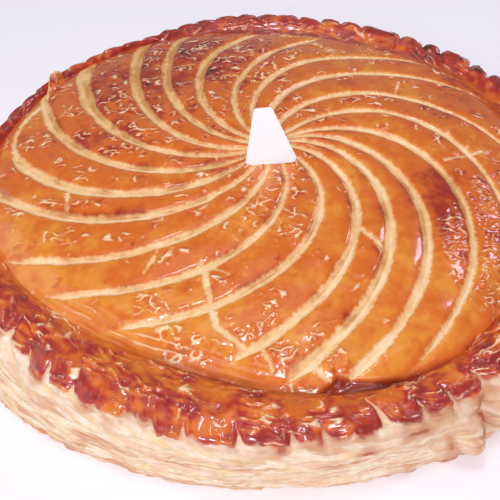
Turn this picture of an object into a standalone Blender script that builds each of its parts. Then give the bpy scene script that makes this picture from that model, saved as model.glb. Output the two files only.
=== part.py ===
# Galette des rois: a round cake of puff pastry with a glazed dome, curved knife cuts
# that meet in its middle, a pinched rim over a pale layered side, and a small blank tag
# that stands in the crust. Metres, +Z up. The origin is the middle of the flat underside.
import math

import bpy
from mathutils import Matrix, Vector

# Rings of the pastry round its own centre: mean radius, and slow waves in that radius as
# (waves round the ring, height of the wave, bearing of its first crest in degrees)
LIP_RADIUS = 0.1346
LIP_WAVES = ((2, 0.0018, 56), (3, 0.0012, 3), (4, 0.0016, 3))
FOOT_RADIUS = 0.1404
FOOT_WAVES = ((2, 0.0024, 43), (3, 0.0024, -21), (4, 0.0015, 33))
CREASE_RADIUS = 0.1181
CREASE_WAVES = ((1, 0.0047, 132), (3, 0.0025, 50), (4, 0.0026, 23))

# Middle of the pastry's box, seen from the rings' centre
BOX_CENTRE = (0.00075, 0.00069)

# Heights above the underside
APEX_HEIGHT = 0.0418
SHOULDER_HEIGHT = 0.0300
CREASE_HEIGHT = 0.0268
LIP_HEIGHT = 0.0284

# The dome's section: how full it is, and where it starts to turn down into the crease
DOME_FULLNESS = 2.4
SHOULDER_START = 0.90
DOME_RINGS = 14
RING_CROWDING = 0.85

# The rim's section from the crease to the lip: share of its width, and height
RIM_SECTION = ((0.16, 0.0298), (0.42, 0.0316), (0.72, 0.0308))

# The side from the lip to the foot: it bellies out a little, in thin ledges of layers
SIDE_STEPS = 7
SIDE_CURVE = 0.8
SIDE_BELLY = 0.0014
SIDE_LEDGE = 0.0004
UNDERSIDE_SHARE = 0.6

# The cuts, anticlockwise, round the point where they meet: each one's bearing in degrees
# on an inner, a middle and an outer circle, at 0.2, 0.5 and 0.8 of the lip's radius
CUT_CENTRE = (-0.0042, 0.0042)
MIDDLE_CIRCLE = 0.5
CIRCLE_STEP = 0.3
CUTS = (
    (43, 20, -25), (65, 39, 5), (86, 60, 32), (104, 79, 48), (120, 96, 73), (141, 118, 93),
    (158, 134, 115), (180, 149, 127), (196, 170, 146), (212, 188, 162), (226, 206, 182),
    (242, 220, 196), (261, 237, 215), (285, 256, 227), (313, 277, 241), (336, 298, 265),
    (355, 315, 280), (371, 333, 294), (385, 357, 312),
)
CUT_WIDTH = 0.0040
CUT_WIDTH_SWING = 0.0008
CUT_WIDTH_BEARING = 150
SLANT_STEP = 0.001
CUT_START = 0.15
CUT_FADE = (0.86, 0.97)

# A leaf of crust between two cuts: heights in the middle of the cut, at its edge, on the
# leaf's shoulder and on its back, and the most of a leaf's width that edge and shoulder take
CRUST_STEPS = (-0.0013, 0.0, 0.0007, 0.0009)
LEAF_SHOULDER = 0.0030
EDGE_SHARE = 0.22
SHOULDER_SHARE = 0.36

# Where the columns that follow the cuts turn straight out, as shares of the way to the crease
TURN_START = 0.84
TURN_SHARE = 0.92
SETTLING_ROUNDS = 8

# The flutes pinched round the rim: bearings of the plainest notches in degrees, the pitch
# of the flutes between them, and one flute's shape on its columns from notch to crest
NOTCHES = (38.5, 46.5, 51, 57, 235.5, 244.5, 253.5, 261.5, 269, 273.5, 282.5, 288.5, 293.5, 299.5)
FLUTE_PITCH = 5.0
FLUTE_SHAPE = (-1.0, 0.35, 0.9)
FLUTE_REACH = 0.0019
FLUTE_DROP = 0.0016
FLUTE_RISE_LIMIT = 0.3
FLUTE_START = 0.25
FLUTE_VARIATION = ((5, 0.30, 40), (11, 0.25, 8))

# The flutes lean as they go out and down: degrees gained at the lip and at the foot, and
# the shares of the side over which the lean and the fading happen
FLUTE_LEAN = (2.0, 5.0)
FLUTE_LEAN_END = 0.7
FLUTE_FADE = (0.1, 0.8)
FLUTE_FOOT = 0.15

# Accidents of baking: a dent in the rim and a loose flake at the back left, and a knob of
# pastry low on the right; each has a bearing, and half-widths in degrees or metres
DENT_BEARING = 121
DENT_DEPTH = 0.0045
DENT_SPREAD = 9
FLAKE_BEARING = 145
FLAKE_HEIGHT = 0.0065
FLAKE_SPREAD = 3.2
KNOB_BEARING = 299
KNOB_HEIGHT = 0.012
KNOB_REACH = 0.0042
KNOB_SPREAD = (7.0, 0.008)

# Angle past which an edge of the crust is shaded sharp, and the smallest distance that counts
SHARP_ANGLE = 40
WELD_DISTANCE = 0.00001

# The tag: a trapezoid with round corners, leaning back, one corner pushed into the crust
TAG_BASE = 0.0226
TAG_TOP = 0.0074
TAG_LENGTH = 0.0242
TAG_TOP_OFFSET = -0.0019
TAG_THICKNESS = 0.0012
TAG_CORNER = 0.0019
TAG_FOOT = (0.0014, -0.0134)
TAG_LIFT = -0.0001
TAG_LEAN = 20
TAG_ROLL = 5
TAG_GAP = 0.0003
SLIT_DEPTH = 0.004


def ring_radius(mean, waves, bearing):
    """Radius of an uneven ring at a bearing in radians."""
    radius = mean
    for count, height, crest in waves:
        radius += height * math.cos(count * (bearing - math.radians(crest)))
    return radius


def smooth(value, start, end):
    """Zero before start, one after end, and an even curve between them."""
    share = min(max((value - start) / (end - start), 0.0), 1.0)
    return share * share * (3 - 2 * share)


def mix(low, high, share):
    """Value part of the way from low to high."""
    return low + (high - low) * share


def turn_between(start, end):
    """The shorter way round from one bearing to another, with its sign."""
    return (end - start + math.pi) % (2 * math.pi) - math.pi


def bump(bearing, middle, spread):
    """One at the middle bearing, in degrees, and falling to nothing on both sides of it."""
    away = math.degrees(turn_between(math.radians(middle), bearing)) / spread
    return math.exp(-away * away)


def lip_radius(bearing):
    """Radius of the lip, with its dent."""
    ring = ring_radius(LIP_RADIUS, LIP_WAVES, bearing)
    return ring - DENT_DEPTH * bump(bearing, DENT_BEARING, DENT_SPREAD)


def crease_radius(bearing):
    """Radius of the crease between the dome and the rim."""
    return ring_radius(CREASE_RADIUS, CREASE_WAVES, bearing)


def foot_radius(bearing):
    """Radius of the foot."""
    return ring_radius(FOOT_RADIUS, FOOT_WAVES, bearing)


def cut_bearing(cut, radius):
    """Bearing of one cut in radians: a curve through its marks, then straight on."""
    inner, middle, outer = cut
    turn = (outer - inner) / (2 * CIRCLE_STEP)
    bend = (inner - 2 * middle + outer) / (2 * CIRCLE_STEP ** 2)
    reach = radius / LIP_RADIUS - MIDDLE_CIRCLE
    beyond = max(reach - CIRCLE_STEP, 0.0)
    reach -= beyond
    bearing = middle + turn * reach + bend * reach ** 2
    bearing += (turn + 2 * bend * CIRCLE_STEP) * beyond
    return math.radians(bearing)


def next_cut(index):
    """The cut after this one going anticlockwise, a full turn on after the last."""
    cut = CUTS[(index + 1) % len(CUTS)]
    turn = 360 if index + 1 == len(CUTS) else 0
    return tuple(mark + turn for mark in cut)


def crease_reach(bearing):
    """Distance from the cuts' meeting point to the crease at a bearing round that point."""
    reach = CREASE_RADIUS
    for _ in range(SETTLING_ROUNDS):
        x = CUT_CENTRE[0] + reach * math.cos(bearing)
        y = CUT_CENTRE[1] + reach * math.sin(bearing)
        reach *= crease_radius(math.atan2(y, x)) / math.hypot(x, y)
    return reach


def turning_point(cut):
    """Bearing round the pastry's centre at which a cut's column turns out to the rim."""
    reach = CREASE_RADIUS * TURN_SHARE
    for _ in range(SETTLING_ROUNDS):
        bearing = cut_bearing(cut, reach)
        reach = crease_reach(bearing) * TURN_SHARE
    x = CUT_CENTRE[0] + reach * math.cos(bearing)
    y = CUT_CENTRE[1] + reach * math.sin(bearing)
    return math.atan2(y, x)


def rim_bearings():
    """Bearing of every column of the rim: whole flutes from each named notch to the next."""
    bearings = []
    for index, notch in enumerate(NOTCHES):
        gap = (NOTCHES[(index + 1) % len(NOTCHES)] - notch) % 360
        count = len(FLUTE_SHAPE) * max(1, round(gap / FLUTE_PITCH))
        bearings += [math.radians(notch + gap * step / count) for step in range(count)]
    return bearings


def column_list():
    """Each column's leaf, place in the leaf, the leaf's count, bearing on the rim and shape."""
    rim = rim_bearings()
    starts = []
    for cut in CUTS:
        turning = turning_point(cut)
        away = [abs(turn_between(turning, bearing)) for bearing in rim]
        starts.append(away.index(min(away)))
    columns = []
    for index, start in enumerate(starts):
        count = (starts[(index + 1) % len(CUTS)] - start) % len(rim)
        for place in range(count):
            on_rim = (start + place) % len(rim)
            shape = FLUTE_SHAPE[on_rim % len(FLUTE_SHAPE)]
            columns.append((index, place, count, rim[on_rim], shape))
    return columns


def slant(cut, radius):
    """How much longer a cut's width is when measured along the circle it crosses."""
    turn = cut_bearing(cut, radius + SLANT_STEP) - cut_bearing(cut, radius - SLANT_STEP)
    return math.hypot(1.0, radius * turn / (2 * SLANT_STEP))


def cut_half_width(cut, radius):
    """Half the width of a cut along its circle, wider at the back left than in front."""
    swing = math.cos(cut_bearing(cut, radius) - math.radians(CUT_WIDTH_BEARING))
    return 0.5 * (CUT_WIDTH + CUT_WIDTH_SWING * swing) * slant(cut, radius)


def leaf_bearing(index, place, count, radius):
    """Bearing of a column inside its leaf, round the point where the cuts meet."""
    low = cut_bearing(CUTS[index], radius)
    arc = (cut_bearing(next_cut(index), radius) - low) * radius
    edge = min(cut_half_width(CUTS[index], radius), EDGE_SHARE * arc)
    shoulder = min(edge + LEAF_SHOULDER, SHOULDER_SHARE * arc)
    if place == 0:
        distance = 0.0
    elif place == 1:
        distance = edge
    elif place == count - 1:
        distance = arc - edge
    else:
        distance = mix(shoulder, arc - shoulder, (place - 2) / max(count - 4, 1))
    return low + distance / radius


def relief(place, count):
    """Height of the crust on a column, by how many columns it is from the nearest cut."""
    nearest = min(place, count - place)
    return CRUST_STEPS[min(nearest, len(CRUST_STEPS) - 1)]


def dome_height(share):
    """Height of the dome from its middle to where it turns down into the crease."""
    height = mix(SHOULDER_HEIGHT, APEX_HEIGHT, 1 - share ** DOME_FULLNESS)
    return height - (SHOULDER_HEIGHT - CREASE_HEIGHT) * smooth(share, SHOULDER_START, 1.0)


def dome_point(share, column):
    """A point of the dome: its column follows the cut outwards, then turns out to the rim."""
    index, place, count, rim_bearing, _ = column
    radius = crease_radius(rim_bearing)
    target = math.atan2(
        radius * math.sin(rim_bearing) - CUT_CENTRE[1],
        radius * math.cos(rim_bearing) - CUT_CENTRE[0])
    turned = smooth(share, TURN_START, 1.0)
    reach = CREASE_RADIUS * share
    for _ in range(SETTLING_ROUNDS):
        bearing = leaf_bearing(index, place, count, reach)
        bearing += turned * turn_between(bearing, target)
        reach = share * crease_reach(bearing)
    strength = smooth(share, 0.0, CUT_START) * (1 - smooth(share, *CUT_FADE))
    x = CUT_CENTRE[0] + reach * math.cos(bearing)
    y = CUT_CENTRE[1] + reach * math.sin(bearing)
    return Vector((x, y, dome_height(share) + strength * relief(place, count)))


def flute(shape, bearing):
    """How far a column of the rim stands out, from -1 in a notch to 1 on a crest."""
    vary = 1.0
    for count, height, crest in FLUTE_VARIATION:
        vary += height * math.cos(count * (bearing - math.radians(crest)))
    return shape * vary


def rim_point(share, height, shape, bearing):
    """A point of the rim's top, a share of the way from the crease to the lip."""
    strength = smooth(share, FLUTE_START, 1.0)
    bearing += math.radians(FLUTE_LEAN[0]) * strength
    lobe = flute(shape, bearing) * strength
    radius = mix(crease_radius(bearing), lip_radius(bearing), share) + FLUTE_REACH * lobe
    height += FLUTE_DROP * min(lobe, FLUTE_RISE_LIMIT)
    return Vector((radius * math.cos(bearing), radius * math.sin(bearing), height))


def side_point(share, shape, bearing):
    """A point of the side, a share of the way down from the lip to the foot."""
    bearing += math.radians(mix(*FLUTE_LEAN, smooth(share, 0.0, FLUTE_LEAN_END)))
    flake = FLAKE_HEIGHT * max(0.0, 1 - abs(math.degrees(bearing) - FLAKE_BEARING) / FLAKE_SPREAD)
    height = (LIP_HEIGHT + flake) * (1 - share)
    radius = mix(lip_radius(bearing), foot_radius(bearing), share ** SIDE_CURVE)
    radius += SIDE_BELLY * math.sin(math.pi * share)
    radius += SIDE_LEDGE * math.cos(math.pi * SIDE_STEPS * share)
    depth = FLUTE_REACH * mix(1.0, FLUTE_FOOT, smooth(share, *FLUTE_FADE))
    radius += depth * flute(shape, bearing)
    upright = math.exp(-((height - KNOB_HEIGHT) / KNOB_SPREAD[1]) ** 2)
    radius += KNOB_REACH * upright * bump(bearing, KNOB_BEARING, KNOB_SPREAD[0])
    return Vector((radius * math.cos(bearing), radius * math.sin(bearing), height))


def underside_point(share, bearing):
    """A point of the flat underside."""
    bearing += math.radians(FLUTE_LEAN[1])
    radius = share * foot_radius(bearing)
    return Vector((radius * math.cos(bearing), radius * math.sin(bearing), 0.0))


def section():
    """The turned section from the apex to the middle of the underside, as named rings."""
    rings = [("dome", (ring / DOME_RINGS) ** RING_CROWDING) for ring in range(1, DOME_RINGS + 1)]
    rings += [("rim", part) for part in RIM_SECTION]
    rings += [("side", step / SIDE_STEPS) for step in range(SIDE_STEPS + 1)]
    rings += [("under", UNDERSIDE_SHARE)]
    return rings


def section_point(ring):
    """Radius and height of a ring before the pastry is made uneven."""
    kind, value = ring
    if kind == "dome":
        return CREASE_RADIUS * value, dome_height(value)
    if kind == "rim":
        return mix(CREASE_RADIUS, LIP_RADIUS, value[0]), value[1]
    if kind == "side":
        return mix(LIP_RADIUS, FOOT_RADIUS, value), LIP_HEIGHT * (1 - value)
    return FOOT_RADIUS * value, 0.0


def uneven_point(ring, column):
    """Where a turned point goes on the real, uneven pastry."""
    kind, value = ring
    bearing, shape = column[3:]
    if kind == "dome":
        return dome_point(value, column)
    if kind == "rim":
        return rim_point(*value, shape, bearing)
    if kind == "side":
        return side_point(value, shape, bearing)
    return underside_point(value, bearing)


def turned_blank(name, rings, column_count):
    """The even round cake: the section turned with a Screw modifier, as a plain mesh."""
    points = [(0.0, 0.0, APEX_HEIGHT)]
    points += [(radius, 0.0, height) for radius, height in map(section_point, rings)]
    points += [(0.0, 0.0, 0.0)]
    profile = bpy.data.meshes.new(name + "_profile")
    profile.from_pydata(points, [(i, i + 1) for i in range(len(points) - 1)], [])
    blank = bpy.data.objects.new(name + "_blank", profile)
    bpy.context.scene.collection.objects.link(blank)
    screw = blank.modifiers.new("turn", "SCREW")
    screw.steps = column_count
    screw.render_steps = column_count
    screw.use_merge_vertices = True
    screw.merge_threshold = WELD_DISTANCE
    bpy.context.view_layer.update()
    graph = bpy.context.evaluated_depsgraph_get()
    mesh = bpy.data.meshes.new_from_object(blank.evaluated_get(graph))
    bpy.data.objects.remove(blank)
    return mesh


def make_uneven(mesh, rings, columns):
    """Moves each turned point to its place on the real pastry."""
    sections = [section_point(ring) for ring in rings]
    for vertex in mesh.vertices:
        radius = math.hypot(vertex.co.x, vertex.co.y)
        if radius < WELD_DISTANCE:
            if vertex.co.z > SHOULDER_HEIGHT:
                vertex.co.x, vertex.co.y = CUT_CENTRE
            continue
        away = [abs(radius - r) + abs(vertex.co.z - z) for r, z in sections]
        ring = rings[away.index(min(away))]
        turn = math.atan2(vertex.co.y, vertex.co.x) / (2 * math.pi)
        column = columns[round(turn * len(columns)) % len(columns)]
        vertex.co = uneven_point(ring, column)


def shift_to_centre(mesh):
    """Moves the pastry so that the middle of its box is the origin."""
    mesh.transform(Matrix.Translation((-BOX_CENTRE[0], -BOX_CENTRE[1], 0.0)))


def plain_material(name, colour, roughness):
    """A Principled material of one colour."""
    material = bpy.data.materials.new(name)
    material.use_nodes = True
    shader = material.node_tree.nodes["Principled BSDF"]
    shader.inputs["Base Color"].default_value = (*colour, 1.0)
    shader.inputs["Roughness"].default_value = roughness
    shader.inputs["Metallic"].default_value = 0.0
    material.diffuse_color = (*colour, 1.0)
    return material


def make_galette(collection):
    """The pastry itself: one solid from apex to underside."""
    rings = section()
    columns = column_list()
    mesh = turned_blank("galette", rings, len(columns))
    make_uneven(mesh, rings, columns)
    shift_to_centre(mesh)
    mesh.shade_smooth()
    mesh.set_sharp_from_angle(angle=math.radians(SHARP_ANGLE))
    mesh.materials.append(plain_material("baked_glaze", (0.62, 0.21, 0.045), 0.22))
    galette = bpy.data.objects.new("galette", mesh)
    collection.objects.link(galette)
    return galette


def tag_matrix():
    """Where the tag stands: its own X along its foot, its own Y up its face."""
    x = CUT_CENTRE[0] + TAG_FOOT[0] - BOX_CENTRE[0]
    y = CUT_CENTRE[1] + TAG_FOOT[1] - BOX_CENTRE[1]
    place = Matrix.Translation((x, y, APEX_HEIGHT + TAG_LIFT))
    return place @ Matrix.Rotation(math.radians(90 - TAG_LEAN), 4, "X") @ Matrix.Rotation(
        math.radians(TAG_ROLL), 4, "Z")


def rounded_outline(corners, radius, steps=5):
    """Points round an outline whose corners, given anticlockwise, are arcs."""
    points = []
    for index, corner in enumerate(corners):
        here = Vector(corner)
        before = (Vector(corners[index - 1]) - here).normalized()
        after = (Vector(corners[(index + 1) % len(corners)]) - here).normalized()
        half = before.angle(after) / 2
        centre = here + (before + after).normalized() * radius / math.sin(half)
        start = here + before * radius / math.tan(half) - centre
        sweep = math.pi - 2 * half
        for step in range(steps + 1):
            points.append(centre + Matrix.Rotation(sweep * step / steps, 2) @ start)
    return points


def make_tag(collection):
    """The blank tag: a flat outline with thickness."""
    half_base = TAG_BASE / 2
    half_top = TAG_TOP / 2
    corners = [
        (-half_base, 0.0),
        (half_base, 0.0),
        (TAG_TOP_OFFSET + half_top, TAG_LENGTH),
        (TAG_TOP_OFFSET - half_top, TAG_LENGTH),
    ]
    outline = rounded_outline(corners, TAG_CORNER)
    curve = bpy.data.curves.new("white_tag", "CURVE")
    curve.dimensions = "2D"
    curve.fill_mode = "BOTH"
    curve.extrude = TAG_THICKNESS / 2
    spline = curve.splines.new("POLY")
    spline.points.add(len(outline) - 1)
    for point, place in zip(spline.points, outline):
        point.co = (place.x, place.y, 0.0, 1.0)
    spline.use_cyclic_u = True
    curve.materials.append(plain_material("tag_white", (0.86, 0.85, 0.86), 0.45))
    tag = bpy.data.objects.new("white_tag", curve)
    tag.matrix_world = tag_matrix()
    collection.objects.link(tag)
    weld = tag.modifiers.new("weld", "WELD")
    weld.merge_threshold = WELD_DISTANCE
    return tag


def cut_slit(galette, cutters):
    """Cuts the slit in the crust that the tag's lower corner is pushed into."""
    bpy.ops.mesh.primitive_cube_add(size=1.0)
    cutter = bpy.context.active_object
    cutter.name = "tag_slit"
    size = (TAG_BASE + 2 * TAG_GAP, SLIT_DEPTH, TAG_THICKNESS + 2 * TAG_GAP)
    shape = Matrix.Translation((0.0, SLIT_DEPTH / 2 - TAG_GAP, 0.0)) @ Matrix.Diagonal((*size, 1.0))
    cutter.data.transform(shape)
    cutter.matrix_world = tag_matrix()
    cutter.hide_render = True
    cutter.display_type = "WIRE"
    for collection in list(cutter.users_collection):
        collection.objects.unlink(cutter)
    cutters.objects.link(cutter)
    slit = galette.modifiers.new("tag_slit", "BOOLEAN")
    slit.operation = "DIFFERENCE"
    slit.solver = "EXACT"
    slit.object = cutter


def main():
    for item in list(bpy.data.objects):
        bpy.data.objects.remove(item)
    parts = bpy.data.collections.new("galette_des_rois")
    cutters = bpy.data.collections.new("cutters")
    bpy.context.scene.collection.children.link(parts)
    bpy.context.scene.collection.children.link(cutters)
    galette = make_galette(parts)
    make_tag(parts)
    cut_slit(galette, cutters)


main()
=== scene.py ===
import math

import bpy
import numpy as np
from mathutils import Matrix, Vector


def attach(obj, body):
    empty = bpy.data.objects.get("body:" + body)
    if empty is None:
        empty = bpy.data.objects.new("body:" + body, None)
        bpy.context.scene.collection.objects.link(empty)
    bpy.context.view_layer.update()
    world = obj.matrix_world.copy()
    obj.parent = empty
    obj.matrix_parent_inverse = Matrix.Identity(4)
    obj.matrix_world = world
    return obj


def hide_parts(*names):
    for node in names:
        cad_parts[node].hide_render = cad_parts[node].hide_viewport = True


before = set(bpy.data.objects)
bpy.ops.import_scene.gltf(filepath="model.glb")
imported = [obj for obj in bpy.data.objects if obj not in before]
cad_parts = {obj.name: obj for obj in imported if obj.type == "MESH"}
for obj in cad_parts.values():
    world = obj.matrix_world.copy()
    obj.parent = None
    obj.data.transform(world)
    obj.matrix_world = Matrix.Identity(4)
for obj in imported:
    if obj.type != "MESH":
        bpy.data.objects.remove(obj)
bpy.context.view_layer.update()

# Looks of a whole galette des rois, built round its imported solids. Metres, +Z up.
mm = 0.001
print("packed galette loaded")


# Small helpers for numbers, noise and meshes

def smooth(value, start, end):
    share = np.clip((value - start) / (end - start), 0.0, 1.0)
    return share * share * (3 - 2 * share)


def mix(low, high, share):
    return low + (high - low) * share


def paint(red, green, blue):
    # a colour as read off a screen, 0 to 255, turned into the shader's own scale
    return tuple(math.pow((part / 255 + 0.055) / 1.055, 2.4) for part in (red, green, blue)) + (1.0,)


def join(*parts):
    # arrays or numbers side by side: x, y and z as points, or four corners as faces
    return np.stack(np.broadcast_arrays(*parts), axis=-1)


def around(bearing, radius=1.0, height=0.0):
    return join(radius * np.cos(bearing), radius * np.sin(bearing), height)


def noise(points, size, seed, steps=1):
    # soft lumps from about -1 to 1, `size` across, which may differ along x, y and z; each
    # further step adds lumps half as large and half as high
    total = np.zeros(points.shape[:-1])
    for step in range(steps):
        rng = np.random.default_rng(seed + step)
        order = rng.permutation(1024)
        slopes = rng.normal(size=(1024, 3))
        slopes /= np.linalg.norm(slopes, axis=1)[:, None]
        place = points / (np.asarray(size) * 0.5 ** step)
        cell = np.floor(place).astype(int)
        inside = place - cell
        ease = inside ** 3 * (inside * (inside * 6 - 15) + 10)
        level = 0
        for corner in np.ndindex(2, 2, 2):
            key = 0
            for part in np.moveaxis(cell + corner, -1, 0):
                key = order[(key + part) & 1023]
            weight = np.prod(np.where(corner, ease, 1 - ease), axis=-1)
            level = level + weight * np.sum(slopes[key] * (inside - corner), axis=-1)
        total += level * 1.7 * 0.5 ** step
    return total


def lumps(points, kind, seed, steps=1):
    # the same noise at its own height: kind is (height, size)
    return kind[0] * noise(points, kind[1], seed, steps)


def degreesFrom(bearing, middle):
    return (np.degrees(bearing) - middle + 180) % 360 - 180


def bump(bearing, middle, spread):
    return np.exp(-(degreesFrom(bearing, middle) / spread) ** 2)


def addBumps(level, bearing, places):
    # more or less near some bearings: bearing, spread, how much
    for middle, spread, more in places:
        level = level + more * bump(bearing, middle, spread)
    return level


def addSpots(level, x, y, spots):
    # more or less in round spots: x, y and radius in millimetres, how much
    for spotX, spotY, radius, more in spots:
        level = level + more * np.exp(-((x / mm - spotX) ** 2 + (y / mm - spotY) ** 2) / radius ** 2)
    return level


def addLobes(level, bearing, height, lobes):
    # more or less at places on the side: bearing, height, spread round and up, how much
    for middle, up, wide, tall, more in lobes:
        level = level + more * np.exp(-((height - up) / tall) ** 2) * bump(bearing, middle, wide)
    return level


def putInScene(name, data):
    thing = bpy.data.objects.new(name, data)
    bpy.context.scene.collection.objects.link(thing)
    return thing


def makeMesh(name, points, quads, shown, material, caps=()):
    # shown holds a value for each point, under the name that the material reads
    mesh = bpy.data.meshes.new(name)
    points = points.reshape(-1, 3) - (*pastry["boxCentre"], 0.0)
    mesh.from_pydata(points.tolist(), [], quads.tolist() + [cap.tolist() for cap in caps])
    for label, values in shown.items():
        layer = mesh.attributes.new(label, "FLOAT", "POINT")
        layer.data.foreach_set("value", np.ravel(values).astype(np.float32))
    mesh.validate()
    mesh.shade_smooth()
    mesh.materials.append(material)
    return putInScene(name, mesh)


def makeTube(name, points, shown, material, closed=False, inwards=False):
    # rows of points, each joined to the next all the way round; the ends meet or are capped
    rows, columns = points.shape[:2]
    index = np.arange(rows * columns).reshape(rows, columns)
    caps = [] if closed else [index[0], index[-1][::-1]]
    if closed:
        index = np.concatenate([index, index[:1]])
    after = np.roll(index, -1, axis=1)
    quads = join(index[:-1], index[1:], after[1:], after[:-1]).reshape(-1, 4)
    if inwards:
        quads, caps = quads[:, [0, 3, 2, 1]], [cap[::-1] for cap in caps]
    return makeMesh(name, points, quads, shown, material, caps)


def withHidden(shown, before, after, hidden):
    # values for the hidden rows of points before and after those that show
    rows = ((before, after), (0, 0))
    return {label: np.pad(values, rows, constant_values=hidden.get(label, 0.0))
            for label, values in shown.items()}


# Form of the pastry, as the solid has it. A ring is its mean radius and its waves: how many
# round, height, and the bearing of a crest
pastry = {
    "boxCentre": (0.00075, 0.00069),
    "lip": (0.1346, ((2, 0.0018, 56), (3, 0.0012, 3), (4, 0.0016, 3))),
    "foot": (0.1404, ((2, 0.0024, 43), (3, 0.0024, -21), (4, 0.0015, 33))),
    "crease": (0.1181, ((1, 0.0047, 132), (3, 0.0025, 50), (4, 0.0026, 23))),
    "apexHeight": 0.0418,
    "shoulderHeight": 0.03,
    "creaseHeight": 0.0268,
    "lipHeight": 0.0284,
    "domeFullness": 2.4,
    "shoulderStart": 0.9,
    "runOn": 0.1,  # slope of the dome's edge where it runs on under the rim
    "cutCentre": (-0.0042, 0.0042),
    "dent": (121, 9, -0.0045),  # bearing, spread, depth
    "filled": (150, 42, 0.0045, 0.003),  # where the crease fills up: bearing, spread, reach, height
}
cutX, cutY = pastry["cutCentre"]


def ringRadius(ring, bearing):
    radius, waves = ring
    for count, height, crest in waves:
        radius += height * np.cos(count * (bearing - math.radians(crest)))
    return radius


def lipRadius(bearing):
    return addBumps(ringRadius(pastry["lip"], bearing), bearing, [pastry["dent"]])


def creaseFill(bearing):
    return bump(bearing, *pastry["filled"][:2])


def creaseRadius(bearing):
    return ringRadius(pastry["crease"], bearing) + pastry["filled"][2] * creaseFill(bearing)


def creaseReach(bearing):
    # distance from the point where the cuts meet to the crease
    reach = pastry["crease"][0]
    for _ in range(8):
        x, y = cutX + reach * np.cos(bearing), cutY + reach * np.sin(bearing)
        reach = reach * creaseRadius(np.arctan2(y, x)) / np.hypot(x, y)
    return reach


# Knife cuts, anticlockwise: bearings on an inner, a middle and an outer circle, widths in
# millimetres on the same circles, and the share of the way to the crease where each one ends
cuts = {
    "each": (
        ((43, 20, -25), (2.2, 2.8, 1.7), 1.0),
        ((65, 39, 5), (2.4, 2.8, 1.1), 0.99),
        ((86, 60, 32), (3.0, 3.0, 1.4), 0.99),
        ((104, 79, 48), (2.6, 2.8, 1.9), 1.05),
        ((120, 96, 73), (2.2, 2.8, 2.2), 0.93),
        ((141, 118, 93), (2.8, 3.8, 3.4), 1.0),
        ((158, 134, 115), (2.6, 3.8, 4.4), 1.05),
        ((180, 149, 127), (2.6, 4.0, 5.6), 1.05),
        ((196, 170, 146), (2.4, 3.8, 6.4), 1.05),
        ((212, 188, 162), (2.4, 3.6, 4.2), 1.05),
        ((226, 206, 182), (2.4, 4.2, 4.6), 0.96),
        ((242, 220, 196), (2.4, 3.6, 3.6), 1.05),
        ((261, 237, 215), (2.4, 3.3, 2.6), 1.03),
        ((285, 256, 227), (2.0, 3.0, 2.6), 1.01),
        ((313, 277, 241), (2.4, 3.3, 2.8), 0.985),
        ((336, 298, 265), (2.6, 3.6, 3.4), 0.965),
        ((355, 315, 280), (2.4, 3.8, 4.4), 0.995),
        ((371, 333, 294), (2.6, 3.8, 3.4), 1.01),
        ((385, 357, 312), (2.4, 3.2, 2.4), 1.0),
    ),
    "middleCircle": 0.5,
    "circleStep": 0.3,
    "open": 0.00112,
    "narrowest": 0.8,
    "depth": 0.0009,
    "ragged": ((0.0003, 0.0046), (0.0001, 0.002)),  # coarse and fine: height and size
    "wander": (0.28, 0.01),
    "taper": 0.07,
    # cracks across a leaf: points in millimetres, width, and depth against a cut's
    "cracks": (
        (((-30, -65), (-27, -80), (-24, -93), (-13, -102)), 2.4, 0.6),
        (((31, -47), (36, -53), (40, -58)), 2.6, 0.6),
        (((-88, -22), (-87, -28), (-86, -34)), 1.5, 0.5),
        (((-48, -57), (-49, -63), (-52, -68)), 0.8, 0.4),
        (((-9, -100), (-4, -109)), 1.6, 0.5),
        (((72, -2), (82, 2), (90, 7)), 0.8, 0.3),
        (((82, 2), (84, 10)), 0.8, 0.3),
        (((-27, -66), (-20, -70)), 0.9, 0.3),
        (((-40, 73), (-52, 71), (-58, 75)), 0.8, 0.3),
        (((-30, 59), (-20, 61), (-12, 60)), 0.8, 0.3),
        (((60, 60), (56, 46)), 0.7, 0.3),
        (((-115, 7), (-118, 14), (-119, 22), (-118, 31), (-115, 39), (-111, 47)), 2.7, 0.4),
        (((7, -106), (13, -111), (18, -114)), 2.2, 0.4),
    ),
    "crackRagged": ((0.0006, 0.005), (0.0004, 0.002)),
}


def threeCircles(marks, reach):
    # a value given on the inner, middle and outer circle, read at any reach, straight on outside
    inner, middle, outer = marks
    step = cuts["circleStep"]
    turn = (outer - inner) / (2 * step)
    bend = (inner - 2 * middle + outer) / (2 * step ** 2)
    share = reach / pastry["lip"][0] - cuts["middleCircle"]
    beyond = np.maximum(share - step, 0.0)
    share = share - beyond
    return middle + turn * share + bend * share ** 2 + (turn + 2 * bend * step) * beyond


def cutBearing(marks, reach):
    return np.radians(threeCircles(marks, reach))


def cutSlant(marks, reach):
    turn = cutBearing(marks, reach + mm) - cutBearing(marks, reach - mm)
    return np.hypot(1.0, reach * turn / (2 * mm))


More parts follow.
